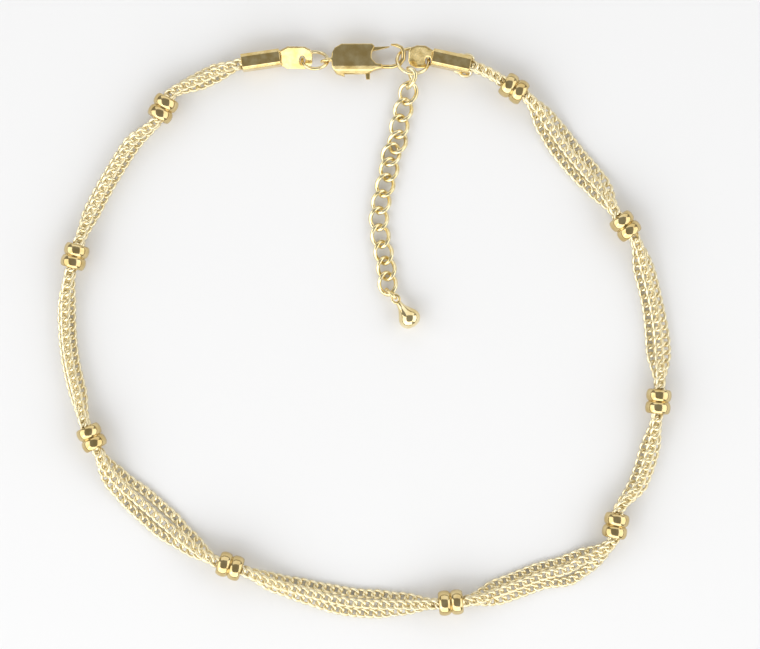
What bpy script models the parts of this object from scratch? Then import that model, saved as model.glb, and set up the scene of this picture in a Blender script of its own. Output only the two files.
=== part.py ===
"""A chain anklet lying flat and closed, with its clasp towards +Y.

Three strands of fine curb chain run side by side round the loop, each made here as a flat tube of the
chain's own width and height. Nine sleeves hold them together, folded caps close their ends, and a
lobster clasp on two rings joins the caps. An extender of curb links ends in a teardrop.
"""

import math

import bmesh
import bpy
import numpy as np
from mathutils import Matrix, Vector
from mathutils.geometry import interpolate_bezier

MM = 0.001
GAP = 0.1
EDGE_GAP = 0.2

# Strands: flat curb chain, in millimetres
STRAND_WIDTH = 1.38
STRAND_HEIGHT = 0.66
STRAND_STEP = 4.2

# Middle line of the three strands, from the left cap down the left side, round to the right cap
ROUTE = (
    (-11.9, 34.25), (-15.9, 33.6), (-21.3, 31.2), (-27.3, 26.2), (-31.8, 19.8), (-35.3, 12.9),
    (-37.4, 5.3), (-37.3, -2.5), (-35.5, -10.0), (-32.7, -17.1), (-27.3, -22.5), (-21.6, -27.1),
    (-15.2, -30.4), (-8.5, -32.6), (-1.5, -34.3), (5.8, -34.42), (13.4, -33.9), (21.0, -31.4),
    (28.7, -27.9), (33.7, -21.1), (36.4, -13.2), (37.2, -5.1), (36.5, 2.7), (34.4, 10.1),
    (30.8, 16.6), (26.0, 22.2), (21.5, 28.1), (17.2, 31.8), (13.6, 33.35), (9.8, 34.2),
)

# Where each strand lies beside the middle line, outwards from the loop's centre
SPREAD = (
    # distance, inner, middle, outer
    (0.0, -0.02, 0.0, 0.02),
    (3.9, -0.02, 0.0, 0.02),
    (7.5, -0.55, 0.0, 0.55),
    (21.0, -0.46, 0.05, 0.46),
    (31.0, -0.46, -0.05, 0.46),
    (46.0, -0.48, 0.05, 0.48),
    (55.0, -0.5, 0.0, 0.5),
    (66.0, -1.0, 0.0, 1.0),
    (71.0, -1.42, 0.0, 1.42),
    (75.0, -1.42, 0.0, 1.42),
    (80.0, -0.75, 0.0, 0.75),
    (90.0, -0.55, 0.0, 0.6),
    (95.0, -0.95, 0.0, 0.95),
    (99.0, -1.2, 0.0, 1.2),
    (104.0, -1.2, 0.0, 1.2),
    (108.5, -0.7, 0.0, 0.7),
    (118.0, -1.05, 0.0, 1.05),
    (125.0, -1.1, 0.0, 1.15),
    (128.8, -0.8, 0.35, 1.9),
    (131.5, -0.7, 0.1, 1.4),
    (141.5, -0.6, 0.0, 0.6),
    (148.0, -0.65, 0.0, 0.65),
    (160.5, -0.95, 0.0, 0.95),
    (167.0, -0.72, 0.0, 0.72),
    (181.5, -0.95, 0.0, 0.95),
    (185.0, -1.2, 0.0, 1.2),
    (190.0, -1.2, 0.0, 1.2),
    (194.0, -0.9, 0.0, 0.9),
)
CAP_HOLD = 3.6

# Bands: a sleeve with two round humps
BAND_PLACES = (
    # x, y, yaw in degrees
    (-25.8, 28.4, 20),
    (-36.5, 9.2, 0),
    (-34.0, -13.2, 6),
    (-16.6, -29.4, 6),
    (11.0, -34.0, 0),
    (31.6, -24.3, 24),
    (37.0, -8.8, 0),
    (33.5, 13.5, 8),
    (19.1, 30.7, 6),
)
BAND_BORE = 1.17
BAND_GROOVE = 1.25
BAND_CREST = 1.6
BAND_HUMP = 1.5
BAND_PITCH = 1.56
BAND_HOLD = 2.0
BAND_EASE = 6.4
BAND_STOPS = (2.0, 3.3, 4.3, 5.4)
BAND_SIDES = 16

# End caps: a folded channel round the strand ends, with a flat eye tab
CAP_WIDTH = 2.1
CAP_HEIGHT = 2.8
CAP_WALL_SIDE = 0.28
CAP_WALL_TOP = 0.24
CAP_SEAM = 0.35
CAP_CORNER = 0.4
CAP_LENGTH = 4.9
CAP_BASE = 0.04
TAB_THICKNESS = 0.36
TAB_HALF_WIDTH = 1.45
TAB_ROOT_HALF_WIDTH = 0.95

# Clasp, measured from its pivot, lying flat
CLASP_PIVOT = (-1.8, 34.4)
CLASP_MIDDLE = 1.2
CLASP_THICKNESS = 2.2
CLASP_SLOT = 0.84
LEVER_THICKNESS = 0.66
PIN_RADIUS = 0.3
PIN_HOLE = 0.38
LEVER_EYE = 0.8
TAIL_EYE_RADIUS = 0.78
TAIL_EYE_WIRE = 0.22
TAIL_EYE_TURN = 14
BODY_OUTLINE = (
    (-2.35, -0.25), (-2.3, 0.6), (-1.9, 1.25), (-1.1, 1.7), (2.75, 1.72), (3.08, 1.4),
    (2.68, 0.6), (2.7, -0.15), (3.3, -0.78), (4.0, -0.84), (4.0, -1.34), (3.2, -1.5),
    (2.3, -2.0), (1.0, -2.42), (-0.6, -2.42), (-1.75, -2.05), (-2.3, -1.2),
)
FLANKS = (
    # distance behind the pivot, slope in degrees
    (-1.0, 22),
    (-1.6, 45),
)
HOOK_ROUTE = (
    # across, up, wire radius
    (3.0, -1.08, 0.28),
    (5.3, -1.08, 0.28),
    (6.2, -0.8, 0.3),
    (6.7, -0.1, 0.32),
    (6.73, 0.7, 0.3),
    (6.45, 1.33, 0.25),
    (5.85, 1.62, 0.24),
    (5.1, 1.72, 0.12),
)
SLOT_OUTLINE = (
    (-0.95, 0.9), (0.0, 1.45), (3.4, 1.45), (3.4, -0.35), (2.62, -0.5), (2.62, -3.2),
    (-0.4, -3.2), (-1.1, -1.0),
)
GATE_OUTLINE = ((0.3, -0.62), (2.2, 0.72), (3.6, 1.0), (4.95, 1.34), (4.95, 1.47), (3.1, 1.38), (-0.2, 0.76))
THUMB_OUTLINE = (
    (-0.72, -0.2), (-0.35, -1.3), (0.6, -1.95), (1.9, -2.05), (2.0, -2.72), (2.5, -2.72),
    (2.5, -1.6), (1.4, -1.3), (0.7, -0.2),
)

# Rings: centre, half length and half width to the wire's middle, wire radius, then angles in degrees
CLASP_RING = dict(centre=(-6.25, 34.1, 1.4), reach=(1.6, 1.6), wire=0.22, turn=0, pitch=0, roll=-42)
END_RING = dict(centre=(6.08, 34.02, 1.34), reach=(2.0, 2.0), wire=0.22, turn=-7.8, pitch=0, roll=-32)
DROP_RING = dict(centre=(3.35, 4.71, 1.07), reach=(0.92, 0.74), wire=0.2, turn=-46, pitch=-43, roll=93)
RING_SIDES = 16
WIRE_SIDES = 6

# Extender: twisted curb links
LINK_REACH = (1.4, 1.05)
LINK_WIRE = 0.25
LINK_TWIST = 40
LINKS = (
    # x, y, z, then heading, pitch and roll in degrees
    (5.8, 31.8, 1.8, -100, 42.7, 72.2),
    (5.46, 29.98, 0.98, -108, 13.1, 9.3),
    (4.88, 27.92, 0.64, -106, 0, -1),
    (4.38, 25.82, 0.68, -95.5, 0, 1),
    (4.16, 23.85, 0.64, -110, 0, 0),
    (3.35, 22.3, 0.64, -110, 0, 0),
    (3.1, 20.4, 0.64, -98, 0, 0),
    (2.6, 18.4, 0.64, -104, 0, 0),
    (2.1, 16.3, 0.64, -102, 0, 0),
    (1.8, 14.18, 0.64, -94, 0, 0),
    (2.0, 12.0, 0.64, -82, 0, 0),
    (2.4, 9.9, 0.64, -79, 0, 0),
    (2.75, 7.9, 0.64, -80, 0, 0),
    (2.9, 5.99, 0.73, -85.5, 0.5, -2.6),
)

# Teardrop at the free end, from its eye to its round end
DROP_EYE = (3.92, 4.08)
DROP_END = (6.35, 0.58)
DROP_RADIUS = 1.38
DROP_PROFILE = (
    # share of the length, share of the radius
    (0.02, 0.24),
    (0.1, 0.29),
    (0.22, 0.4),
    (0.34, 0.58),
    (0.46, 0.79),
    (0.57, 0.95),
    (0.68, 1.0),
    (0.79, 0.95),
    (0.89, 0.77),
    (0.96, 0.5),
)
DROP_EYE_REACH = (0.55, 0.46)
DROP_EYE_WIRE = 0.17
DROP_SIDES = 16

GOLD = ((0.83, 0.67, 0.33, 1.0), 0.18)


def clear_scene():
    for obj in list(bpy.data.objects):
        bpy.data.objects.remove(obj)


def collection_for(name):
    made = bpy.data.collections.new(name)
    bpy.context.scene.collection.children.link(made)
    return made


def plated_brass(name):
    """Pale gold plate over brass, one material for each piece."""
    material = bpy.data.materials.new(name)
    material.use_nodes = True
    shader = material.node_tree.nodes["Principled BSDF"]
    shader.inputs["Base Color"].default_value = GOLD[0]
    shader.inputs["Metallic"].default_value = 1.0
    shader.inputs["Roughness"].default_value = GOLD[1]
    return material


def keep(obj, collection=None):
    """Names the piece's material after it and puts it in the anklet's collection, or a cutter in its own."""
    cutter = collection is cutters
    obj.data.materials.clear()
    obj.data.materials.append(plated_brass(obj.name + "_gold"))
    for holder in list(obj.users_collection):
        holder.objects.unlink(obj)
    (collection or anklet).objects.link(obj)
    if cutter:
        obj.hide_render = True
        obj.display_type = "WIRE"
    return obj


def mesh_object(name, shape, collection=None):
    data = bpy.data.meshes.new(name)
    bmesh.ops.recalc_face_normals(shape, faces=shape.faces)
    shape.to_mesh(data)
    shape.free()
    data.shade_smooth()
    return keep(bpy.data.objects.new(name, data), collection)


def as_mesh(obj, collection=None):
    """The object's evaluated shape as a plain mesh object, with the loose caps welded on."""
    bpy.context.view_layer.update()
    graph = bpy.context.evaluated_depsgraph_get()
    data = bpy.data.meshes.new_from_object(obj.evaluated_get(graph))
    name, place = obj.name, obj.matrix_world.copy()
    bpy.data.objects.remove(obj)
    shape = bmesh.new()
    shape.from_mesh(data)
    bpy.data.meshes.remove(data)
    bmesh.ops.remove_doubles(shape, verts=shape.verts, dist=0.000001)
    made = mesh_object(name, shape, collection)
    made.matrix_world = place
    return made


def flat_plate(name, outline, thickness, collection=None):
    """A closed flat outline in millimetres, given its thickness about z = 0."""
    curve = bpy.data.curves.new(name, "CURVE")
    curve.dimensions = "2D"
    curve.fill_mode = "BOTH"
    curve.extrude = thickness / 2 * MM
    spline = curve.splines.new("POLY")
    spline.points.add(len(outline) - 1)
    for point, (x, y) in zip(spline.points, outline):
        point.co = (x * MM, y * MM, 0, 1)
    spline.use_cyclic_u = True
    return as_mesh(keep(bpy.data.objects.new(name, curve), collection), collection)


def join(target, other, operation):
    """Adds or cuts with another mesh object, applies it at once and removes the other."""
    bpy.context.view_layer.update()
    boolean = target.modifiers.new(operation.lower(), "BOOLEAN")
    boolean.operation = operation
    boolean.object = other
    bpy.context.view_layer.update()
    graph = bpy.context.evaluated_depsgraph_get()
    data = bpy.data.meshes.new_from_object(target.evaluated_get(graph))
    target.modifiers.clear()
    target.data = data
    bpy.data.objects.remove(other)


def place(obj, matrix):
    obj.matrix_world = matrix
    return obj


def frame_at(x, y, z, heading, pitch=0.0, roll=0.0):
    """A place in millimetres: its heading about Z, then a pitch about its Y and a roll about its X."""
    turned = Matrix.Rotation(math.radians(heading), 4, "Z")
    pitched = Matrix.Rotation(math.radians(pitch), 4, "Y")
    rolled = Matrix.Rotation(math.radians(roll), 4, "X")
    return Matrix.Translation(Vector((x, y, z)) * MM) @ turned @ pitched @ rolled


def smooth_line(points, steps=16):
    """Points along one smooth curve through all of the route's points."""
    knots = [Vector((x, y, 0)) for x, y in points]
    knots = [2 * knots[0] - knots[1]] + knots + [2 * knots[-1] - knots[-2]]
    line = []
    for before, start, end, after in zip(knots, knots[1:], knots[2:], knots[3:]):
        leave = start + (end - before) / 6
        arrive = end - (after - start) / 6
        line += interpolate_bezier(start, leave, arrive, end, steps)[:-1]
    line.append(knots[-2])
    return np.array([(p.x, p.y) for p in line])


def travelled(line):
    return np.concatenate(([0.0], np.cumsum(np.linalg.norm(np.diff(line, axis=0), axis=1))))


def along(line, distance):
    """The point on the line at a distance from its start, and the unit direction there."""
    gone = travelled(line)
    point = np.array([np.interp(distance, gone, line[:, axis]) for axis in (0, 1)])
    ahead = np.array([np.interp(distance + 0.2, gone, line[:, axis]) for axis in (0, 1)])
    behind = np.array([np.interp(distance - 0.2, gone, line[:, axis]) for axis in (0, 1)])
    direction = ahead - behind
    return point, direction / np.linalg.norm(direction)


def nearest_distance(line, x, y):
    return travelled(line)[np.argmin(np.hypot(line[:, 0] - x, line[:, 1] - y))]


def eased(distance, rows, column):
    """The table's value at a distance, easing from one row to the next."""
    stations = [row[0] for row in rows]
    index = int(np.clip(np.searchsorted(stations, distance) - 1, 0, len(rows) - 2))
    low, high = rows[index], rows[index + 1]
    share = np.clip((distance - low[0]) / (high[0] - low[0]), 0, 1)
    share = share * share * (3 - 2 * share)
    return low[column] + (high[column] - low[column]) * share


def band_stations(line):
    """Each band's distance along the strands, its place, its heading and its yaw."""
    found = []
    for x, y, yaw in BAND_PLACES:
        distance = nearest_distance(line, x, y)
        start, _ = along(line, distance - BAND_HOLD)
        end, _ = along(line, distance + BAND_HOLD)
        heading = math.degrees(math.atan2(end[1] - start[1], end[0] - start[0])) + yaw
        found.append((distance, (start + end) / 2, heading, yaw))
    return found


def lie_rows(bands, length):
    """The spread table with each band and cap added: there the strands are stacked and lifted."""
    stack = (-0.02, 0.0, 0.02)
    rows = [row + (0.0,) for row in SPREAD]
    for distance, _, _, yaw in bands:
        rows = [row for row in rows if abs(row[0] - distance) > BAND_EASE]
        shift = BAND_HOLD * math.sin(math.radians(yaw))
        for side in (-1, 1):
            held = tuple(offset - side * shift for offset in stack)
            rows.append((distance + side * BAND_HOLD,) + held + (BAND_LIFT,))
            apart = distance + side * BAND_EASE
            rows.append((apart,) + tuple(eased(apart, SPREAD, column) for column in (1, 2, 3)) + (0.12,))
    rows = [row[:4] + (CAP_LIFT,) if row[0] < 4 else row for row in rows]
    rows.append((length - CAP_HOLD,) + stack + (CAP_LIFT,))
    rows.append((length,) + stack + (CAP_LIFT,))
    return sorted(rows)


def rest_height(offset, others):
    """How high a flat strand lies on the floor or on the strands already laid."""
    height = STRAND_HEIGHT / 2
    for other_offset, other_height in others:
        beside = abs(offset - other_offset) / (STRAND_WIDTH + EDGE_GAP)
        height = max(height, other_height + (STRAND_HEIGHT + GAP) * np.clip(1.6 - 0.98 * beside, 0, 1))
    return height


def strand_points(line, bands):
    """Three lists of points, one for each strand, in millimetres."""
    length = travelled(line)[-1]
    rows = lie_rows(bands, length)
    near_bands = [band[0] + side * stop for band in bands for side in (-1, 1) for stop in BAND_STOPS]
    fixed = sorted([0.0, CAP_HOLD, length - CAP_HOLD, length] + near_bands)
    stops = []
    for start, end in zip(fixed, fixed[1:]):
        count = max(1, round((end - start) / STRAND_STEP))
        stops += [start + (end - start) * step / count for step in range(count)]
    stops.append(length)
    strands = ([], [], [])
    for stop in stops:
        point, direction = along(line, stop)
        outward = np.array((direction[1], -direction[0]))
        inner, middle, outer, lift = (eased(stop, rows, column) for column in (1, 2, 3, 4))
        inner_height = rest_height(inner, ())
        outer_height = rest_height(outer, ((inner, inner_height),))
        laid = ((inner, inner_height), (outer, outer_height))
        middle_height = rest_height(middle, laid)
        lying = ((inner, inner_height), (middle, middle_height), (outer, outer_height))
        for strand, (offset, height) in zip(strands, lying):
            x, y = point + outward * offset
            strand.append((x, y, height + lift))
    return strands


def add_strand(name, points):
    """A round tube along the points, squashed by its object's scale to the flat chain's height."""
    flatness = STRAND_HEIGHT / STRAND_WIDTH
    curve = bpy.data.curves.new(name, "CURVE")
    curve.dimensions = "3D"
    curve.bevel_depth = STRAND_WIDTH / 2 * MM
    curve.bevel_resolution = 2
    curve.use_fill_caps = True
    spline = curve.splines.new("POLY")
    spline.points.add(len(points) - 1)
    for point, (x, y, z) in zip(spline.points, points):
        point.co = (x * MM, y * MM, z / flatness * MM, 1)
    tube = keep(bpy.data.objects.new(name, curve))
    tube.scale.z = flatness


def add_band(name, centre, heading):
    """A two-hump sleeve, turned as a profile about its bore and laid along the strands."""
    half = BAND_PITCH / 2 + BAND_HUMP / 2
    rows = [(BAND_GROOVE, half)]
    for middle in (BAND_PITCH / 2, -BAND_PITCH / 2):
        for step in range(1, 6):
            angle = math.pi * step / 6
            radius = BAND_GROOVE + (BAND_CREST - BAND_GROOVE) * math.sin(angle)
            rows.append((radius, middle + BAND_HUMP / 2 * math.cos(angle)))
        if middle > 0:
            rows.append((BAND_GROOVE, 0.0))
    rows += [(BAND_GROOVE, -half), (BAND_BORE, -half), (BAND_BORE, half)]
    shape = bmesh.new()
    verts = [shape.verts.new((radius * MM, 0, height * MM)) for radius, height in rows]
    for start, end in zip(verts, verts[1:] + verts[:1]):
        shape.edges.new((start, end))
    data = bpy.data.meshes.new(name)
    shape.to_mesh(data)
    shape.free()
    band = keep(bpy.data.objects.new(name, data))
    screw = band.modifiers.new("turned", "SCREW")
    screw.steps = screw.render_steps = BAND_SIDES
    screw.use_merge_vertices = True
    screw.merge_threshold = 0.000001
    upright_to_lying = Matrix.Rotation(math.pi / 2, 4, "Y")
    place(band, frame_at(centre[0], centre[1], BAND_CREST, heading) @ upright_to_lying)


def wire_loop(name, reach, wire, twist=0.0):
    """A closed wire loop about Z, its long way along X, twisted about X as a curb link is."""
    shape = bmesh.new()
    rims = []
    for step in range(RING_SIDES):
        angle = 2 * math.pi * step / RING_SIDES
        centre = Vector((reach[0] * math.cos(angle), reach[1] * math.sin(angle), 0))
        outward = Vector((reach[1] * math.cos(angle), reach[0] * math.sin(angle), 0)).normalized()
        turn = Matrix.Rotation(math.radians(twist) * math.cos(angle), 3, "X")
        rim = []
        for side in range(WIRE_SIDES):
            round_wire = 2 * math.pi * side / WIRE_SIDES
            offset = outward * math.cos(round_wire) + Vector((0, 0, math.sin(round_wire)))
            rim.append(shape.verts.new(turn @ (centre + offset * wire) * MM))
        rims.append([shape.edges.new((rim[i], rim[(i + 1) % WIRE_SIDES])) for i in range(WIRE_SIDES)])
    for rim, following in zip(rims, rims[1:] + rims[:1]):
        bmesh.ops.bridge_loops(shape, edges=rim + following)
    return mesh_object(name, shape)


def add_ring(name, centre, reach, wire, turn, pitch, roll):
    place(wire_loop(name, reach, wire), frame_at(*centre, turn, pitch, roll))


def channel_outline():
    """The cap's folded section: a rounded box with a seam underneath."""
    w, h, c, s = CAP_WIDTH / 2, CAP_HEIGHT / 2, CAP_CORNER, CAP_SEAM / 2
    side, top = w - CAP_WALL_SIDE, h - CAP_WALL_TOP
    return (
        (s, -h), (w - c, -h), (w, c - h), (w, h - c), (w - c, h), (c - w, h), (-w, h - c), (-w, c - h),
        (c - w, -h), (-s, -h), (-s, -top), (-side, -top), (-side, top), (side, top), (side, -top), (s, -top),
    )


def cutter_block(name, size, matrix):
    shape = bmesh.new()
    bmesh.ops.create_cube(shape, size=1)
    bmesh.ops.scale(shape, vec=Vector(size) * MM, verts=shape.verts)
    return place(mesh_object(name, shape, cutters), matrix)


def cylinder(name, radius, depth, matrix, sides=16, stretch=1.0, collection=None):
    shape = bmesh.new()
    bmesh.ops.create_cone(
        shape, cap_ends=True, segments=sides, radius1=radius * MM, radius2=radius * MM, depth=depth * MM
    )
    bmesh.ops.scale(shape, vec=(1, stretch, 1), verts=shape.verts)
    return place(mesh_object(name, shape, collection), matrix)


def cap_mouth(line, distance, inside):
    """Where a cap's channel starts on the strands and its heading, towards their end."""
    mouth, _ = along(line, distance)
    end, _ = along(line, inside)
    return tuple(mouth), math.degrees(math.atan2(end[1] - mouth[1], end[0] - mouth[0]))


def add_cap(name, mouth, heading, tab_turn, tab_roll, length, hole):
    """The channel runs from its mouth along its heading, and the tab goes on from its end."""
    height = CAP_BASE + CAP_HEIGHT / 2
    cap = flat_plate(name, channel_outline(), CAP_LENGTH)
    base = frame_at(*mouth, height, heading)
    lying = Matrix.Rotation(math.pi / 2, 4, "Z") @ Matrix.Rotation(math.pi / 2, 4, "X")
    cap.matrix_world = base @ Matrix.Translation((CAP_LENGTH / 2 * MM, 0, 0)) @ lying
    root, half = TAB_ROOT_HALF_WIDTH, TAB_HALF_WIDTH
    outline = (
        (-0.5, -root), (0, -root), (0.9, -half), (length - 1.0, -half), (length - 0.25, -half + 0.35),
        (length, -half + 0.8), (length, half - 0.8), (length - 0.25, half - 0.35), (length - 1.0, half),
        (0.9, half), (0, root), (-0.5, root),
    )
    tab = flat_plate(name + "_tab", outline, TAB_THICKNESS)
    tab_base = base @ frame_at(CAP_LENGTH, 0, 0, tab_turn, roll=tab_roll)
    tab.matrix_world = tab_base
    join(cap, tab, "UNION")
    x, y, across, stretch = hole
    eye_place = tab_base @ frame_at(x, y, 0, 0)
    join(cap, cylinder(name + "_eye", across, 2.0, eye_place, stretch=stretch, collection=cutters), "DIFFERENCE")


def clasp_frame():
    return frame_at(*CLASP_PIVOT, CLASP_MIDDLE, 0)


def add_clasp_body():
    """One casting: a thick body with a sloped back, the hook's wire, the tail eye and the pivot pin."""
    body = flat_plate("clasp_body", BODY_OUTLINE, CLASP_THICKNESS)
    for start, angle in FLANKS:
        fall = math.tan(math.radians(FLANKS[0][1])) * (FLANKS[0][0] - start)
        for side in (1, -1):
            slope = Matrix.Translation((0, start * MM, side * (CLASP_THICKNESS / 2 - fall) * MM))
            slope = slope @ Matrix.Rotation(math.radians(side * angle), 4, "X")
            above = Matrix.Translation((0, -1.5 * MM, side * 1.5 * MM))
            join(body, cutter_block("flank_cutter", (9, 3.2, 3), slope @ above), "DIFFERENCE")
    curve = bpy.data.curves.new("hook", "CURVE")
    curve.dimensions = "3D"
    curve.bevel_depth = MM
    curve.bevel_resolution = 3
    curve.use_fill_caps = True
    spline = curve.splines.new("POLY")
    spline.points.add(len(HOOK_ROUTE) - 1)
    for point, (x, y, radius) in zip(spline.points, HOOK_ROUTE):
        point.co = (x * MM, y * MM, 0, 1)
        point.radius = radius
    join(body, as_mesh(keep(bpy.data.objects.new("hook", curve))), "UNION")
    x, y, z = CLASP_RING["centre"]
    eye = wire_loop("tail_eye", (TAIL_EYE_RADIUS, TAIL_EYE_RADIUS), TAIL_EYE_WIRE)
    eye_place = frame_at(x + CLASP_RING["reach"][0], y, z, TAIL_EYE_TURN, roll=90)
    place(eye, clasp_frame().inverted() @ eye_place)
    join(body, eye, "UNION")
    join(body, flat_plate("slot_cutter", SLOT_OUTLINE, CLASP_SLOT, cutters), "DIFFERENCE")
    join(body, cylinder("pin", PIN_RADIUS, CLASP_THICKNESS * 0.7, Matrix.Identity(4)), "UNION")
    body.matrix_world = clasp_frame()


def add_clasp_lever():
    """The sprung lever in the slot: an eye round the pin, the gate arm and the thumb nub."""
    lever = cylinder("clasp_lever", LEVER_EYE, LEVER_THICKNESS, Matrix.Identity(4))
    join(lever, flat_plate("gate_arm", GATE_OUTLINE, LEVER_THICKNESS * 0.9), "UNION")
    join(lever, flat_plate("thumb_arm", THUMB_OUTLINE, LEVER_THICKNESS * 0.8), "UNION")
    join(lever, cylinder("pin_hole", PIN_HOLE, 3, Matrix.Identity(4), collection=cutters), "DIFFERENCE")
    lever.matrix_world = clasp_frame()


def add_drop():
    """A solid teardrop turned about its length, lying down, with a wire eye at its neck."""
    eye, end = Vector((*DROP_EYE, 0)), Vector((*DROP_END, 0))
    heading = math.degrees(math.atan2(end.y - eye.y, end.x - eye.x))
    length = (end - eye).length
    body = length - DROP_EYE_REACH[0]
    rows = [(0.0, 0.0)]
    for share, width in DROP_PROFILE:
        rows.append((DROP_RADIUS * width, body * share))
    rows.append((0.0, body))
    shape = bmesh.new()
    rims = []
    for radius, distance in rows[1:-1]:
        ring = bmesh.ops.create_circle(shape, segments=DROP_SIDES, radius=radius * MM)["verts"]
        bmesh.ops.translate(shape, vec=(0, 0, distance * MM), verts=ring)
        rims.append(list({edge for vert in ring for edge in vert.link_edges}))
    for rim, following in zip(rims, rims[1:]):
        bmesh.ops.bridge_loops(shape, edges=rim + following)
    for rim, distance in ((rims[0], rows[0][1]), (rims[-1], rows[-1][1])):
        tip = shape.verts.new((0, 0, distance * MM))
        for edge in rim:
            shape.faces.new((edge.verts[0], edge.verts[1], tip))
    drop = mesh_object("drop", shape)
    lying = Matrix.Translation((DROP_EYE_REACH[0] * MM, 0, 0)) @ Matrix.Rotation(math.pi / 2, 4, "Y")
    drop.data.transform(lying)
    loop = wire_loop("drop_eye", DROP_EYE_REACH, DROP_EYE_WIRE)
    loop.matrix_world = Matrix.Identity(4)
    join(drop, loop, "UNION")
    drop.matrix_world = frame_at(eye.x, eye.y, DROP_RADIUS, heading)


BAND_LIFT = BAND_CREST - STRAND_HEIGHT / 2 - (STRAND_HEIGHT + GAP)
CAP_LIFT = CAP_BASE + CAP_WALL_TOP + 0.07

clear_scene()
anklet = collection_for("chain_anklet")
cutters = collection_for("cutters")

middle_line = smooth_line(ROUTE)
band_list = band_stations(middle_line)
for number, strand in enumerate(strand_points(middle_line, band_list), 1):
    add_strand(f"strand_{number}", strand)
for number, (_, centre, heading, _) in enumerate(band_list, 1):
    add_band(f"band_{number}", centre, heading)
strand_length = travelled(middle_line)[-1]
left_mouth = cap_mouth(middle_line, CAP_HOLD, 0.0)
right_mouth = cap_mouth(middle_line, strand_length - CAP_HOLD, strand_length)
add_cap("end_cap_left", *left_mouth, -9, 24, 4.05, (2.8, -0.24, 0.38, 1.5))
add_cap("end_cap_right", *right_mouth, 10, -22, 3.0, (0.5, 0.48, 0.37, 1.55))
add_ring("clasp_ring", **CLASP_RING)
add_ring("end_ring", **END_RING)
add_clasp_body()
add_clasp_lever()
for number, pose in enumerate(LINKS, 1):
    link = wire_loop(f"extender_link_{number:02d}", LINK_REACH, LINK_WIRE, LINK_TWIST)
    place(link, frame_at(*pose))
add_ring("drop_ring", **DROP_RING)
add_drop()
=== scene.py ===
import math

import bmesh
import bpy
import numpy as np
from mathutils import Matrix, Vector
from mathutils.geometry import interpolate_bezier


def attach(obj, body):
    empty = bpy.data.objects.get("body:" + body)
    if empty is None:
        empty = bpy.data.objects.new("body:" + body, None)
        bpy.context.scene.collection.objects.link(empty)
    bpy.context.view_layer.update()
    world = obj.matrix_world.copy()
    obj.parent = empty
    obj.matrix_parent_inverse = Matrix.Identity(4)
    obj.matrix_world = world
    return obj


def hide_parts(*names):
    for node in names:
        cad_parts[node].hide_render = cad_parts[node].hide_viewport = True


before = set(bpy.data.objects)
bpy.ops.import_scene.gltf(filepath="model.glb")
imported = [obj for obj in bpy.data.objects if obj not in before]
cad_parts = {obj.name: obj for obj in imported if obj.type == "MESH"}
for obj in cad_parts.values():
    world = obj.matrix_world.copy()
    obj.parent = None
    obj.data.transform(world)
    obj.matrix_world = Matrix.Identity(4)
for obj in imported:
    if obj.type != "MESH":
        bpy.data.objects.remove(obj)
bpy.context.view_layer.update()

# The three strands: fine flat curb chain in gold-plated brass, each about 20 cm long.
# The links are cut from drawn wire, twisted into one another, then rolled flat between steel rolls.
# They lie over one another at random on the table, and cross where the sleeves gather them.
MM = 0.001
GAP = 0.1
EDGE_GAP = 0.2
STRAND_WIDTH = 1.38
STRAND_HEIGHT = 0.66
LINK_PITCH = 1.05
LINK_HALF_LENGTH = 0.725
LINK_HALF_WIDTH = 0.49
LINK_WIRE_ACROSS = 0.2
LINK_WIRE_DEEP = 0.17
LINK_TWIST_DEG = 39
LINK_FLAT = 0.31

# Middle line of the three strands, from the left cap down the left side, round to the right cap
ROUTE = (
    (-11.9, 34.25), (-15.9, 33.6), (-21.3, 31.2), (-27.3, 26.2), (-31.8, 19.8), (-35.3, 12.9),
    (-37.4, 5.3), (-37.3, -2.5), (-35.5, -10.0), (-32.7, -17.1), (-27.3, -22.5), (-21.6, -27.1),
    (-15.2, -30.4), (-8.5, -32.6), (-1.5, -34.3), (5.8, -34.42), (13.4, -33.9), (21.0, -31.4),
    (28.7, -27.9), (33.7, -21.1), (36.4, -13.2), (37.2, -5.1), (36.5, 2.7), (34.4, 10.1),
    (30.8, 16.6), (26.0, 22.2), (21.5, 28.1), (17.2, 31.8), (13.6, 33.35), (9.8, 34.2),
)

# Where each strand lies beside the middle line, outwards from the loop's centre
SPREAD = (
    # distance, inner, middle, outer
    (0.0, -0.02, 0.0, 0.02),
    (3.9, -0.02, 0.0, 0.02),
    (7.5, -0.55, 0.0, 0.55),
    (21.0, -0.46, 0.05, 0.46),
    (31.0, -0.46, -0.05, 0.46),
    (46.0, -0.48, 0.05, 0.48),
    (55.0, -0.5, 0.0, 0.5),
    (66.0, -1.0, 0.0, 1.0),
    (71.0, -1.42, 0.0, 1.42),
    (75.0, -1.42, 0.0, 1.42),
    (80.0, -0.75, 0.0, 0.75),
    (90.0, -0.55, 0.0, 0.6),
    (95.0, -0.95, 0.0, 0.95),
    (99.0, -1.2, 0.0, 1.2),
    (104.0, -1.2, 0.0, 1.2),
    (108.5, -0.7, 0.0, 0.7),
    (118.0, -1.05, 0.0, 1.05),
    (125.0, -1.1, 0.0, 1.15),
    (128.8, -0.8, 0.35, 1.9),
    (131.5, -0.7, 0.1, 1.4),
    (141.5, -0.6, 0.0, 0.6),
    (148.0, -0.65, 0.0, 0.65),
    (160.5, -0.95, 0.0, 0.95),
    (167.0, -0.72, 0.0, 0.72),
    (181.5, -0.95, 0.0, 0.95),
    (185.0, -1.2, 0.0, 1.2),
    (190.0, -1.2, 0.0, 1.2),
    (194.0, -0.9, 0.0, 0.9),
)
CAP_HOLD = 3.6
CAP_LIFT = 0.35

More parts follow.
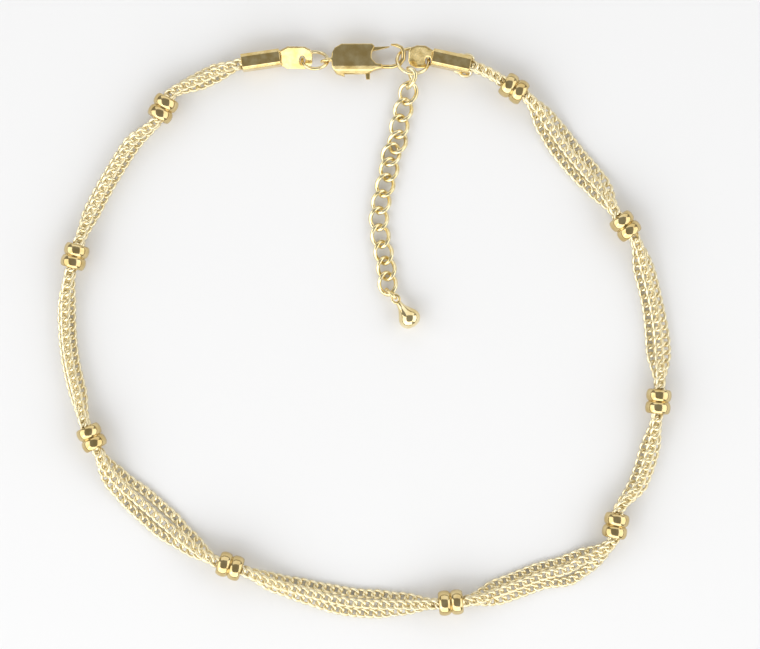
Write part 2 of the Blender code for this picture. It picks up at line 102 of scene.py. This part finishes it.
# Bands: a sleeve with two round humps
BAND_PLACES = (
    # x, y, yaw in degrees
    (-25.8, 28.4, 20),
    (-36.5, 9.2, 0),
    (-34.0, -13.2, 6),
    (-16.6, -29.4, 6),
    (11.0, -34.0, 0),
    (31.6, -24.3, 24),
    (37.0, -8.8, 0),
    (33.5, 13.5, 8),
    (19.1, 30.7, 6),
)
BAND_BORE = 1.17
BAND_GROOVE = 1.25
BAND_CREST = 1.6
BAND_HUMP = 1.5
BAND_PITCH = 1.56
BAND_HOLD = 2.0
BAND_EASE = 6.4
BAND_STOPS = (2.0, 3.3, 4.3, 5.4)
BAND_LIFT = BAND_CREST - STRAND_HEIGHT / 2 - (STRAND_HEIGHT + GAP)


def srgb(hex_value):
    """An sRGB hex value as a linear colour."""
    parts = [int(hex_value[i:i + 2], 16) / 255 for i in (1, 3, 5)]
    linear = [p / 12.92 if p <= 0.04045 else ((p + 0.055) / 1.055) ** 2.4 for p in parts]
    return (*linear, 1.0)


def add_node(material, kind, settings=None, inputs=None, links=None):
    """One node with its settings and input values, linked from (node, output) pairs."""
    node = material.node_tree.nodes.new(kind)
    for key, value in (settings or {}).items():
        setattr(node, key, value)
    for key, value in (inputs or {}).items():
        node.inputs[key].default_value = value
    for key, (source, output) in (links or {}).items():
        material.node_tree.links.new(source.outputs[output], node.inputs[key])
    return node


def gold_plate(name, bright, deep, rough, cloud_mm, line_mm, relief):
    """Pale gold plate on brass: two tones that drift over the metal, uneven polish and fine polishing lines."""
    material = bpy.data.materials.new(name)
    material.use_nodes = True
    shader = material.node_tree.nodes["Principled BSDF"]
    links = material.node_tree.links
    place = add_node(material, "ShaderNodeTexCoord")
    cloud = add_node(
        material, "ShaderNodeTexNoise", inputs={"Scale": 1 / (cloud_mm * MM), "Detail": 3.0, "Roughness": 0.55},
        links={"Vector": (place, "Object")},
    )
    tone = add_node(
        material, "ShaderNodeMapRange", inputs={"From Min": 0.35, "From Max": 0.65},
        links={"Value": (cloud, "Fac")},
    )
    mixed = add_node(
        material, "ShaderNodeMix", settings={"data_type": "RGBA"}, links={"Factor": (tone, "Result")},
    )
    mixed.inputs[6].default_value = srgb(deep)
    mixed.inputs[7].default_value = srgb(bright)
    polish = add_node(
        material, "ShaderNodeMapRange", inputs={"To Min": rough[0], "To Max": rough[1]},
        links={"Value": (cloud, "Fac")},
    )
    lines = add_node(
        material, "ShaderNodeTexNoise", inputs={"Scale": 1 / (line_mm * MM), "Detail": 2.0, "Roughness": 0.6},
        links={"Vector": (place, "Object")},
    )
    bump = add_node(
        material, "ShaderNodeBump", inputs={"Strength": relief, "Distance": line_mm * 0.1 * MM},
        links={"Height": (lines, "Fac")},
    )
    links.new(mixed.outputs[2], shader.inputs["Base Color"])
    links.new(polish.outputs["Result"], shader.inputs["Roughness"])
    links.new(bump.outputs["Normal"], shader.inputs["Normal"])
    shader.inputs["Metallic"].default_value = 1.0
    return material


def smooth_line(points, steps=16):
    """Points along one smooth curve through all of the route's points."""
    knots = [Vector((x, y, 0)) for x, y in points]
    knots = [2 * knots[0] - knots[1]] + knots + [2 * knots[-1] - knots[-2]]
    line = []
    for before, start, end, after in zip(knots, knots[1:], knots[2:], knots[3:]):
        leave = start + (end - before) / 6
        arrive = end - (after - start) / 6
        line += interpolate_bezier(start, leave, arrive, end, steps)[:-1]
    line.append(knots[-2])
    return np.array([(p.x, p.y) for p in line])


def travelled(line):
    return np.concatenate(([0.0], np.cumsum(np.linalg.norm(np.diff(line, axis=0), axis=1))))


def along(line, distance):
    """The point on the line at a distance from its start, and the unit direction there."""
    gone = travelled(line)
    point = np.array([np.interp(distance, gone, line[:, axis]) for axis in (0, 1)])
    ahead = np.array([np.interp(distance + 0.2, gone, line[:, axis]) for axis in (0, 1)])
    behind = np.array([np.interp(distance - 0.2, gone, line[:, axis]) for axis in (0, 1)])
    direction = ahead - behind
    return point, direction / np.linalg.norm(direction)


def nearest_distance(line, x, y):
    return travelled(line)[np.argmin(np.hypot(line[:, 0] - x, line[:, 1] - y))]


def eased(distance, rows, column):
    """The table's value at a distance, easing from one row to the next."""
    stations = [row[0] for row in rows]
    index = int(np.clip(np.searchsorted(stations, distance) - 1, 0, len(rows) - 2))
    low, high = rows[index], rows[index + 1]
    share = np.clip((distance - low[0]) / (high[0] - low[0]), 0, 1)
    share = share * share * (3 - 2 * share)
    return low[column] + (high[column] - low[column]) * share


def band_stations(line):
    """Each band's distance along the strands, its place, its heading and its yaw."""
    found = []
    for x, y, yaw in BAND_PLACES:
        distance = nearest_distance(line, x, y)
        start, _ = along(line, distance - BAND_HOLD)
        end, _ = along(line, distance + BAND_HOLD)
        heading = math.degrees(math.atan2(end[1] - start[1], end[0] - start[0])) + yaw
        found.append((distance, (start + end) / 2, heading, yaw))
    return found


def lie_rows(bands, length):
    """The spread table with each band and cap added: there the strands are stacked and lifted."""
    stack = (-0.02, 0.0, 0.02)
    rows = [row + (0.0,) for row in SPREAD]
    for distance, _, _, yaw in bands:
        rows = [row for row in rows if abs(row[0] - distance) > BAND_EASE]
        shift = BAND_HOLD * math.sin(math.radians(yaw))
        for side in (-1, 1):
            held = tuple(offset - side * shift for offset in stack)
            rows.append((distance + side * BAND_HOLD,) + held + (BAND_LIFT,))
            apart = distance + side * BAND_EASE
            rows.append((apart,) + tuple(eased(apart, SPREAD, column) for column in (1, 2, 3)) + (0.12,))
    rows = [row[:4] + (CAP_LIFT,) if row[0] < 4 else row for row in rows]
    rows.append((length - CAP_HOLD,) + stack + (CAP_LIFT,))
    rows.append((length,) + stack + (CAP_LIFT,))
    return sorted(rows)


def rest_height(offset, others):
    """How high a flat strand lies on the floor or on the strands already laid."""
    height = STRAND_HEIGHT / 2
    for other_offset, other_height in others:
        beside = abs(offset - other_offset) / (STRAND_WIDTH + EDGE_GAP)
        height = max(height, other_height + (STRAND_HEIGHT + GAP) * np.clip(1.6 - 0.98 * beside, 0, 1))
    return height


def strand_lines(line, bands):
    """Three dense lines, one for each strand, in millimetres, at the heights where they rest."""
    length = travelled(line)[-1]
    rows = lie_rows(bands, length)
    strands = ([], [], [])
    for stop in np.arange(0.15, length - 0.15, 0.3):
        point, direction = along(line, stop)
        outward = np.array((direction[1], -direction[0]))
        inner, middle, outer, lift = (eased(stop, rows, column) for column in (1, 2, 3, 4))
        inner_height = rest_height(inner, ())
        outer_height = rest_height(outer, ((inner, inner_height),))
        laid = ((inner, inner_height), (outer, outer_height))
        middle_height = rest_height(middle, laid)
        lying = ((inner, inner_height), (middle, middle_height), (outer, outer_height))
        for strand, (offset, height) in zip(strands, lying):
            strand.append((*(point + outward * offset), height + lift))
    return [np.array(strand) for strand in strands]


def rim_edges(verts):
    return list({edge for vert in verts for edge in vert.link_edges})


def add_wire_loop(shape, reach, wire, twist, steps, sides, place):
    """A closed loop of wire, its long way along X, twisted about X as a curb link is."""
    rims = []
    for step in range(steps):
        angle = 2 * math.pi * step / steps
        centre = Vector((reach[0] * math.cos(angle), reach[1] * math.sin(angle), 0))
        outward = Vector((reach[1] * math.cos(angle), reach[0] * math.sin(angle), 0)).normalized()
        onward = Vector((-outward.y, outward.x, 0))
        turned = Matrix.Rotation(math.radians(twist) * math.cos(angle), 4, "X")
        axes = Matrix((outward * wire[0], Vector((0, 0, wire[1])), onward)).transposed().to_4x4()
        section = place @ Matrix.Scale(MM, 4) @ turned @ Matrix.Translation(centre) @ axes
        ring = bmesh.ops.create_circle(shape, segments=sides, radius=1, matrix=section)["verts"]
        rims.append(rim_edges(ring))
    for rim, following in zip(rims, rims[1:] + rims[:1]):
        bmesh.ops.bridge_loops(shape, edges=rim + following)


def finished(name, shape, material, node, body="anklet"):
    """The piece's object at the origin, in place of its solid and riding with its body."""
    bmesh.ops.recalc_face_normals(shape, faces=shape.faces)
    data = bpy.data.meshes.new(name)
    shape.to_mesh(data)
    shape.free()
    data.shade_smooth()
    data.materials.append(material)
    piece = bpy.data.objects.new(name, data)
    bpy.context.scene.collection.objects.link(piece)
    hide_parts(node)
    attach(piece, body)
    return piece


chain_gold = gold_plate("rolled_gold_plate_curb", "#FEF4D2", "#F4E4B8", (0.28, 0.42), 0.5, 0.12, 0.25)
middle_line = smooth_line(ROUTE)
band_list = band_stations(middle_line)
link_shape = bmesh.new()
add_wire_loop(
    link_shape, (LINK_HALF_LENGTH, LINK_HALF_WIDTH), (LINK_WIRE_ACROSS, LINK_WIRE_DEEP), LINK_TWIST_DEG, 14, 6,
    Matrix.Identity(4),
)
for vert in link_shape.verts:
    vert.co.z = max(-LINK_FLAT * MM, min(LINK_FLAT * MM, vert.co.z))
bmesh.ops.recalc_face_normals(link_shape, faces=link_shape.faces)
link_mesh = bpy.data.meshes.new("curb_link")
link_shape.to_mesh(link_mesh)
link_shape.free()
for number, strand in enumerate(strand_lines(middle_line, band_list), 1):
    gone = np.concatenate(([0.0], np.cumsum(np.linalg.norm(np.diff(strand, axis=0), axis=1))))
    count = int((gone[-1] - 1.6) / LINK_PITCH)
    joined = bmesh.new()
    points = []
    for link in range(count + 1):
        distance = 0.8 + (gone[-1] - 1.6) * link / count
        here, ahead, behind = (
            Vector([np.interp(distance + step, gone, strand[:, axis]) for axis in range(3)])
            for step in (0.0, 0.5, -0.5)
        )
        forward = (ahead - behind).normalized()
        roll = 5 * math.sin(link * 2.39 + number)
        sideways = Vector((0, 0, 1)).cross(forward).normalized()
        upward = forward.cross(sideways)
        turned = Matrix((forward, sideways, upward)).transposed().to_4x4()
        points.append(Matrix.Translation(here * MM) @ turned @ Matrix.Rotation(math.radians(roll), 4, "X"))
    base = np.array([vert.co for vert in link_mesh.vertices])
    faces = np.array([list(face.vertices) for face in link_mesh.polygons])
    places = np.array([np.array(place) for place in points])
    verts = np.einsum("nij,vj->nvi", places[:, :3, :3], base) + places[:, None, :3, 3]
    all_faces = (faces[None] + (np.arange(len(points)) * len(base))[:, None, None]).reshape(-1, faces.shape[1])
    joined_mesh = bpy.data.meshes.new("strand_links")
    joined_mesh.from_pydata(verts.reshape(-1, 3).tolist(), [], all_faces.tolist())
    joined.from_mesh(joined_mesh)
    bpy.data.meshes.remove(joined_mesh)
    finished(f"strand_{number}_curb_chain", joined, chain_gold, f"strand_{number}")
bpy.data.meshes.remove(link_mesh)

# The nine sleeves: thin gold-plated brass tubes, each spun into two round humps.
# They are threaded over all three strands and squeezed so that they stay where they are.
SLEEVE_STEPS = 56
sleeve_gold = gold_plate("spun_gold_plate_sleeve", "#DFCB98", "#CDB378", (0.08, 0.17), 1.2, 0.09, 0.12)
for number, (_, centre, heading, _) in enumerate(band_list, 1):
    half = BAND_PITCH / 2 + BAND_HUMP / 2
    rows = [(half, BAND_GROOVE)]
    for middle in (BAND_PITCH / 2, -BAND_PITCH / 2):
        for step in range(1, 16):
            angle = math.pi * step / 16
            radius = BAND_GROOVE + (BAND_CREST - BAND_GROOVE) * math.sin(angle)
            rows.append((middle + BAND_HUMP / 2 * math.cos(angle), radius))
        if middle > 0:
            rows.append((0.0, BAND_GROOVE))
    rows += [(-half, BAND_GROOVE), (-half, BAND_BORE), (half, BAND_BORE)]
    sleeve = bmesh.new()
    profile = [sleeve.verts.new((x * MM, 0, radius * MM)) for x, radius in rows]
    edges = [sleeve.edges.new(pair) for pair in zip(profile, profile[1:] + profile[:1])]
    bmesh.ops.spin(
        sleeve, geom=profile + edges, cent=(0, 0, 0), axis=(1, 0, 0), dvec=(0, 0, 0),
        angle=2 * math.pi, steps=SLEEVE_STEPS, use_merge=True,
    )
    lying = Matrix.Translation((centre[0] * MM, centre[1] * MM, BAND_CREST * MM))
    lying = lying @ Matrix.Rotation(math.radians(heading), 4, "Z")
    bmesh.ops.transform(sleeve, matrix=lying, verts=sleeve.verts)
    finished(f"band_{number}_sleeve", sleeve, sleeve_gold, f"band_{number}")

# The two end caps: stamped sheet brass folded into a channel round the strand ends and pressed shut.
# A flat tab goes on from each, with the eye that its jump ring passes through.
def softened(name, node, material, voxel_mm, rounds, body="anklet"):
    """The piece's solid with its edges rounded, as tumbling and plating round them."""
    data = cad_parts[node].data.copy()
    sharp = bmesh.new()
    sharp.from_mesh(data)
    bmesh.ops.remove_doubles(sharp, verts=sharp.verts, dist=0.001 * MM)
    bmesh.ops.transform(sharp, matrix=Matrix.Scale(1 / MM, 4), verts=sharp.verts)
    sharp.to_mesh(data)
    sharp.free()
    rough = bpy.data.objects.new(name + "_rough", data)
    bpy.context.scene.collection.objects.link(rough)
    remesh = rough.modifiers.new("even", "REMESH")
    remesh.mode = "VOXEL"
    remesh.voxel_size = voxel_mm
    bpy.context.view_layer.update()
    graph = bpy.context.evaluated_depsgraph_get()
    even = bpy.data.meshes.new_from_object(rough.evaluated_get(graph))
    shape = bmesh.new()
    shape.from_mesh(even)
    for _ in range(rounds):
        bmesh.ops.smooth_vert(
            shape, verts=shape.verts, factor=0.5, use_axis_x=True, use_axis_y=True, use_axis_z=True,
        )
    bmesh.ops.transform(shape, matrix=Matrix.Scale(MM, 4), verts=shape.verts)
    bpy.data.objects.remove(rough)
    bpy.data.meshes.remove(data)
    bpy.data.meshes.remove(even)
    return finished(name, shape, material, node, body)


cap_gold = gold_plate("stamped_gold_plate_cap", "#F0DBA2", "#DABD7A", (0.12, 0.24), 0.9, 0.1, 0.2)
softened("end_cap_left_folded", "end_cap_left", cap_gold, 0.06, 3)
softened("end_cap_right_folded", "end_cap_right", cap_gold, 0.06, 3)

# The clasp ring: a jump ring of drawn gold-plated brass wire, its cut ends butted.
# It joins the left cap's tab to the clasp's tail eye.
CLASP_RING = dict(centre=(-6.25, 34.1, 1.4), reach=(1.6, 1.6), wire=0.22, turn=0, pitch=0, roll=-42)


def frame_at(x, y, z, heading, pitch=0.0, roll=0.0):
    """A place in millimetres: its heading about Z, then a pitch about its Y and a roll about its X."""
    turned = Matrix.Rotation(math.radians(heading), 4, "Z")
    pitched = Matrix.Rotation(math.radians(pitch), 4, "Y")
    rolled = Matrix.Rotation(math.radians(roll), 4, "X")
    return Matrix.Translation(Vector((x, y, z)) * MM) @ turned @ pitched @ rolled


def add_ring(name, node, material, centre, reach, wire, turn, pitch, roll):
    shape = bmesh.new()
    add_wire_loop(shape, reach, (wire, wire), 0.0, 72, 14, frame_at(*centre, turn, pitch, roll))
    return finished(name, shape, material, node)


wire_gold = gold_plate("drawn_gold_plate_wire", "#F7E9BE", "#E6CF92", (0.1, 0.2), 0.8, 0.08, 0.12)
add_ring("clasp_jump_ring", "clasp_ring", wire_gold, **CLASP_RING)

# The clasp: a cast lobster clasp in gold-plated brass, tumbled smooth, with its tail eye cast on.
# A sprung lever turns on a pin in its slot, and its arm closes the hook's mouth.
clasp_gold = gold_plate("cast_gold_plate_clasp", "#F0DBA2", "#DABD7A", (0.12, 0.24), 1.4, 0.1, 0.15)
softened("clasp_body_cast", "clasp_body", clasp_gold, 0.055, 5)
softened("clasp_lever_cast", "clasp_lever", clasp_gold, 0.045, 3, "lever")

# The end ring: a larger jump ring that the clasp hooks, through the right cap's eye.
# It is drawn gold-plated brass wire, and the extender hangs from it.
END_RING = dict(centre=(6.08, 34.02, 1.34), reach=(2.0, 2.0), wire=0.22, turn=-7.8, pitch=0, roll=-32)
add_ring("end_jump_ring", "end_ring", wire_gold, **END_RING)

# The extender: fourteen curb links of drawn gold-plated brass wire, twisted and left round.
# Each passes through its neighbours, and the first through the end ring.
EXTENDER_REACH = (1.4, 1.05)
EXTENDER_WIRE = 0.265
EXTENDER_TWIST = 40
LINKS = (
    # x, y, z, then heading, pitch and roll in degrees
    (5.8, 31.8, 1.8, -100, 42.7, 72.2),
    (5.46, 29.98, 0.98, -108, 13.1, 9.3),
    (4.88, 27.92, 0.64, -106, 0, -1),
    (4.38, 25.82, 0.68, -95.5, 0, 1),
    (4.16, 23.85, 0.64, -110, 0, 0),
    (3.35, 22.3, 0.64, -110, 0, 0),
    (3.1, 20.4, 0.64, -98, 0, 0),
    (2.6, 18.4, 0.64, -104, 0, 0),
    (2.1, 16.3, 0.64, -102, 0, 0),
    (1.8, 14.18, 0.64, -94, 0, 0),
    (2.0, 12.0, 0.64, -82, 0, 0),
    (2.4, 9.9, 0.64, -79, 0, 0),
    (2.75, 7.9, 0.64, -80, 0, 0),
    (2.9, 5.99, 0.73, -85.5, 0.5, -2.6),
)
extender_gold = gold_plate("drawn_gold_plate_links", "#F8ECC4", "#E9D59C", (0.14, 0.26), 0.8, 0.08, 0.12)
for number, pose in enumerate(LINKS, 1):
    shape = bmesh.new()
    wire = (EXTENDER_WIRE, EXTENDER_WIRE)
    add_wire_loop(shape, EXTENDER_REACH, wire, EXTENDER_TWIST, 56, 12, frame_at(*pose))
    finished(f"extender_link_{number:02d}_wire", shape, extender_gold, f"extender_link_{number:02d}")

# The drop ring: a small jump ring of the same wire.
# It joins the last link to the teardrop's eye.
DROP_RING = dict(centre=(3.35, 4.71, 1.07), reach=(0.92, 0.74), wire=0.2, turn=-46, pitch=-43, roll=93)
add_ring("drop_jump_ring", "drop_ring", wire_gold, **DROP_RING)

# The teardrop: solid brass turned to a drop, polished and gold-plated, with a wire eye at its neck.
# It lies on its side at the extender's free end.
DROP_EYE = (3.92, 4.08)
DROP_END = (6.35, 0.58)
DROP_RADIUS = 1.38
DROP_PROFILE = (
    # share of the length, share of the radius
    (0.0, 0.0),
    (0.02, 0.24),
    (0.1, 0.29),
    (0.22, 0.4),
    (0.34, 0.58),
    (0.46, 0.79),
    (0.57, 0.95),
    (0.68, 1.0),
    (0.79, 0.95),
    (0.89, 0.77),
    (0.96, 0.5),
    (1.0, 0.0),
)
DROP_EYE_REACH = (0.55, 0.46)
DROP_EYE_WIRE = 0.17
drop_gold = gold_plate("turned_gold_plate_drop", "#F7E9BE", "#E6CF92", (0.05, 0.12), 1.5, 0.08, 0.08)
along_drop = Vector(DROP_END) - Vector(DROP_EYE)
drop_body = along_drop.length - DROP_EYE_REACH[0]
drop = bmesh.new()
knots = [(DROP_EYE_REACH[0] + drop_body * share, DROP_RADIUS * width) for share, width in DROP_PROFILE]
rows = [(x, abs(radius)) for x, radius in smooth_line(knots, 5)]
profile = [drop.verts.new((x * MM, 0, radius * MM)) for x, radius in rows]
edges = [drop.edges.new(pair) for pair in zip(profile, profile[1:])]
bmesh.ops.spin(
    drop, geom=profile + edges, cent=(0, 0, 0), axis=(1, 0, 0), dvec=(0, 0, 0),
    angle=2 * math.pi, steps=56, use_merge=True,
)
bmesh.ops.remove_doubles(drop, verts=drop.verts, dist=0.0005 * MM)
add_wire_loop(drop, DROP_EYE_REACH, (DROP_EYE_WIRE, DROP_EYE_WIRE), 0.0, 40, 12, Matrix.Identity(4))
drop_heading = math.degrees(math.atan2(along_drop.y, along_drop.x))
drop_place = frame_at(*DROP_EYE, DROP_RADIUS, drop_heading)
bmesh.ops.transform(drop, matrix=drop_place, verts=drop.verts)
finished("teardrop", drop, drop_gold, "drop")

# The table top: plain matt white, out to where the camera and the gold no longer see its edge.
top = bmesh.new()
bmesh.ops.create_grid(top, x_segments=1, y_segments=1, size=1.5)
top_mesh = bpy.data.meshes.new("table_top")
top.to_mesh(top_mesh)
top.free()
table_white = bpy.data.materials.new("matt_white_table")
table_white.use_nodes = True
table_white.node_tree.nodes["Principled BSDF"].inputs["Base Color"].default_value = srgb("#EEEEEE")
table_white.node_tree.nodes["Principled BSDF"].inputs["Roughness"].default_value = 0.9
top_mesh.materials.append(table_white)
table = bpy.data.objects.new("table_top", top_mesh)
bpy.context.scene.collection.objects.link(table)

# Studio light: a tent of wide soft boxes low round the table, strongest on the near side, and a dim ceiling.
# Polished gold facing up mirrors the dim ceiling, and its slopes mirror the boxes.
SOFT_BOXES = (
    # x, y, z, width, height in metres, watts
    (-0.10, -0.60, 0.36, 1.10, 0.60, 4.4),
    (-0.60, -0.10, 0.36, 0.90, 0.60, 2.7),
    (0.60, -0.05, 0.36, 0.90, 0.60, 2.5),
    (0.05, 0.60, 0.34, 1.10, 0.50, 1.5),
)
for number, (x, y, z, width, height, watts) in enumerate(SOFT_BOXES, 1):
    lamp = bpy.data.lights.new(f"soft_box_{number}", "AREA")
    lamp.shape = "RECTANGLE"
    lamp.size = width
    lamp.size_y = height
    lamp.energy = watts
    box = bpy.data.objects.new(f"soft_box_{number}", lamp)
    box.location = (x, y, z)
    box.rotation_euler = (Vector((0, 0, 0)) - Vector((x, y, z))).to_track_quat("-Z", "Y").to_euler()
    bpy.context.scene.collection.objects.link(box)
world = bpy.data.worlds.new("dim_room")
world.use_nodes = True
world.node_tree.nodes["Background"].inputs["Color"].default_value = (0.3, 0.3, 0.3, 1)
world.node_tree.nodes["Background"].inputs["Strength"].default_value = 1.0
bpy.context.scene.world = world
bpy.context.scene.view_settings.view_transform = "Standard"

# The camera looks straight down, as in the photo, from about 27 cm.
VIEW_CENTRE = (1.95, 0.82)
VIEW_WIDTH = 95.8
lens = bpy.data.cameras.new("table_camera")
lens.lens = 100
lens.sensor_width = 36
lens.clip_start = 0.01
lens.clip_end = 10
camera = bpy.data.objects.new("table_camera", lens)
camera.location = (VIEW_CENTRE[0] * MM, VIEW_CENTRE[1] * MM, (VIEW_WIDTH * 100 / 36 + 1.2) * MM)
bpy.context.scene.collection.objects.link(camera)
bpy.context.scene.camera = camera
